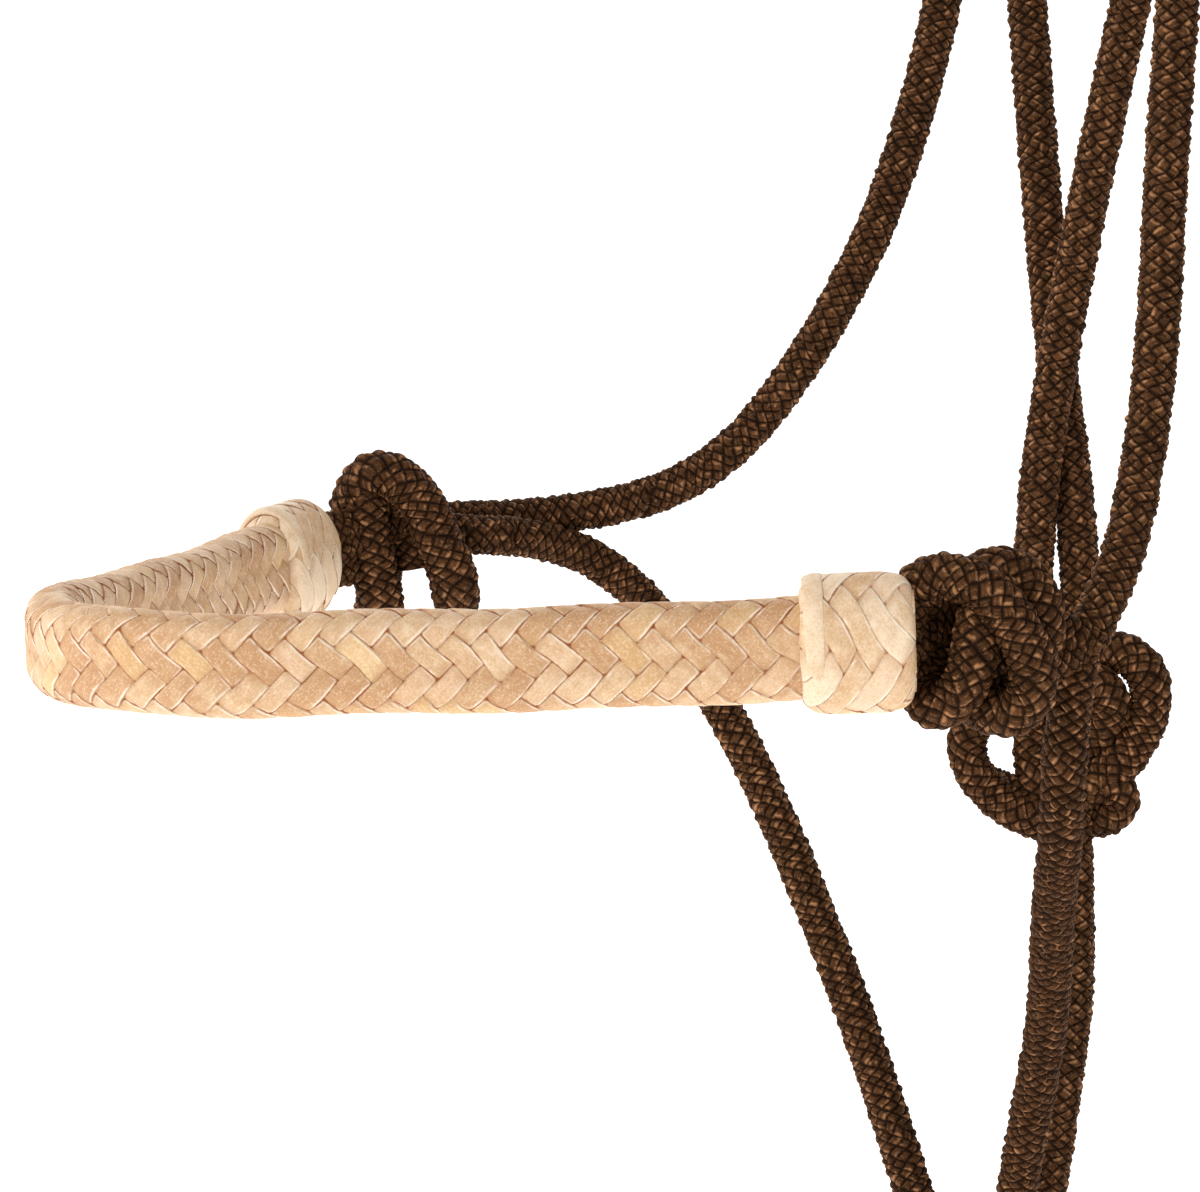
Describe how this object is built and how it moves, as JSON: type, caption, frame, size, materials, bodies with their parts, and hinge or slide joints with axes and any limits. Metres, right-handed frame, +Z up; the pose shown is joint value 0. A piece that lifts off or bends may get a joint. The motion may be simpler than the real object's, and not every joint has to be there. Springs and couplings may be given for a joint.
{
  "type": "rope halter",
  "caption": "Rope halter with a braided rawhide noseband, knotted cheek and chin ropes, doubled crown, side tie with hanging tails, and lead loops under the chin.",
  "frame": {"origin": "where the crown rests on the poll, between the two crown strands, on their underside", "axes": "+Z up, +X towards the back of the head, +Y towards the horse's right side"},
  "size_m": [0.2378, 0.1931, 0.6625],
  "materials": {
    "rope_sheath": "dark brown plaited polyester sheath, slightly glossy yarns",
    "rope_core": "dark brown plaited rope inside the rawhide",
    "rawhide_braid": "dry untanned rawhide strips, cream to honey, satin",
    "sealed_end": "melted rope end, dark and slightly shiny"
  },
  "bodies": {
    "headstall": {"near_cheek_rope": "rope_sheath", "near_chin_rope": "rope_sheath", "far_cheek_rope": "rope_sheath", "far_chin_rope": "rope_sheath", "throat_rope_near": "rope_sheath", "throat_rope_far": "rope_sheath", "throat_knot": "rope_sheath", "throatlatch_near": "rope_sheath", "throatlatch_far": "rope_sheath", "near_cheek_knot": "rope_sheath", "far_cheek_knot": "rope_sheath", "tie_loop": "rope_sheath", "tie_hitch": "rope_sheath", "crown_rope_front": "rope_sheath", "crown_rope_rear": "rope_sheath", "fiador_knot": "rope_sheath"},
    "noseband": {"noseband_cover": "rawhide_braid", "noseband_core_upper": "rope_core", "noseband_core_lower": "rope_core", "near_button": "rawhide_braid", "far_button": "rawhide_braid", "near_nose_knot": "rope_sheath", "far_nose_knot": "rope_sheath"},
    "lead_loops": {"lead_loop_front": "rope_sheath", "lead_loop_rear": "rope_sheath"},
    "long_tail": {"tail_long": "rope_sheath", "sealed_tip_long": "sealed_end"},
    "short_tail": {"tail_short": "rope_sheath", "sealed_tip_short": "sealed_end"}
  },
  "joints": [
    {"name": "noseband_tilt", "type": "hinge", "parent": "headstall", "child": "noseband", "pos_m": [-0.1076, 0, -0.44375], "axis": [0, 1, 0], "range_deg": [-15, 15]},
    {"name": "lead_loop_swing", "type": "hinge", "parent": "headstall", "child": "lead_loops", "pos_m": [-0.037, 0, -0.59675], "axis": [0, -1, 0], "range_deg": [-40, 40]},
    {"name": "long_tail_swing", "type": "hinge", "parent": "headstall", "child": "long_tail", "pos_m": [-0.031, -0.083, -0.17675], "axis": [-1, 0, 0], "range_deg": [0, 60]},
    {"name": "short_tail_swing", "type": "hinge", "parent": "headstall", "child": "short_tail", "pos_m": [-0.0225, -0.083, -0.17675], "axis": [-1, 0, 0], "range_deg": [0, 60]}
  ]
}
